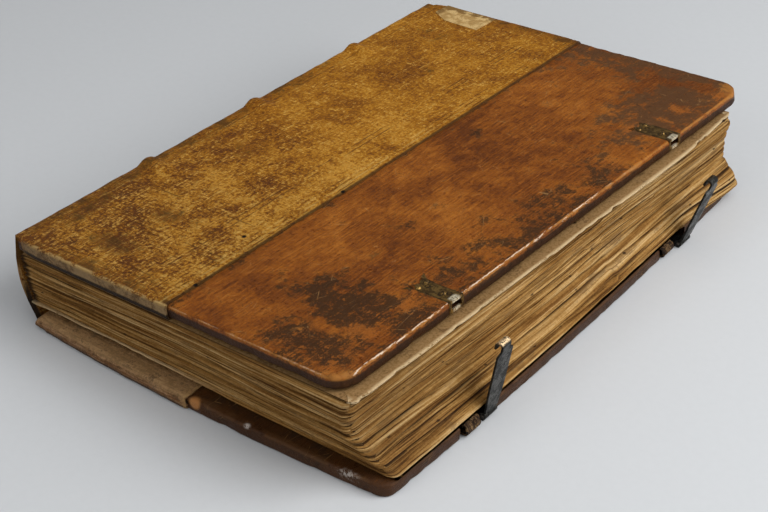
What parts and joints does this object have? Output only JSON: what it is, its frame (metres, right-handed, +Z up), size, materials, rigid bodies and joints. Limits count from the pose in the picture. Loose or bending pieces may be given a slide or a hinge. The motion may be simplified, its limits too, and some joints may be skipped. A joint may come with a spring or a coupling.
{
  "type": "antique leather book",
  "caption": "Large old book in wooden boards, spine half covered in worn leather over raised bands, with hinged metal clasps and catch plates at the fore-edge.",
  "frame": {"origin": "centre of the lower board's underside, on the table", "axes": "+X from the spine to the fore-edge, +Y from tail to head, +Z up through the thickness"},
  "size_m": [0.2486, 0.3339, 0.0635],
  "materials": {
    "bare_wood": "old, dark, worn satin",
    "cover_leather": "old tawed leather, stained, satin",
    "pages": "old rag paper, matte",
    "cord": "alum-tawed skin, matte",
    "label_paper": "old paper, matte, bare",
    "peg_wood": "matte",
    "catch_metal": "dark patina",
    "clasp_metal": "blackened, satin",
    "iron": "dark, matte"
  },
  "bodies": {
    "lower_cover": {"lower_board": "bare_wood", "lower_cover_leather": "cover_leather", "lower_slips": "cord", "lower_pegs": "peg_wood", "tail_clasp_anchor": "clasp_metal", "head_clasp_anchor": "clasp_metal", "tail_clasp_pin": "iron", "head_clasp_pin": "iron", "clasp_anchor_rivets": "iron"},
    "pages": {"text_block": "pages", "spine_leather": "cover_leather", "tail_sewing_support": "cord", "middle_sewing_support": "cord", "head_sewing_support": "cord"},
    "upper_cover": {"upper_board": "bare_wood", "upper_cover_leather": "cover_leather", "upper_slips": "cord", "upper_pegs": "peg_wood", "paper_label": "label_paper", "tail_catch_plate": "catch_metal", "head_catch_plate": "catch_metal", "tail_catch_rivets": "iron", "head_catch_rivets": "iron"},
    "tail_clasp": {"tail_clasp_arm": "clasp_metal"},
    "head_clasp": {"head_clasp_arm": "clasp_metal"}
  },
  "joints": [
    {"name": "lower_joint", "type": "hinge", "parent": "lower_cover", "child": "pages", "pos_m": [-0.1144, 0, 0.0008], "axis": [0, -1, 0], "range_deg": [0, 57]},
    {"name": "upper_joint", "type": "hinge", "parent": "pages", "child": "upper_cover", "pos_m": [-0.11611, 0.00535, 0.04636], "axis": [-0.0575, -0.9983, -0.0122], "range_deg": [0, 118]},
    {"name": "tail_clasp_hinge", "type": "hinge", "parent": "lower_cover", "child": "tail_clasp", "pos_m": [0.106, -0.0864, 0.0026], "axis": [0, 1, 0], "range_deg": [-16, 80]},
    {"name": "head_clasp_hinge", "type": "hinge", "parent": "lower_cover", "child": "head_clasp", "pos_m": [0.1083, 0.09, 0.0026], "axis": [0, 1, 0], "range_deg": [-16, 72]}
  ]
}
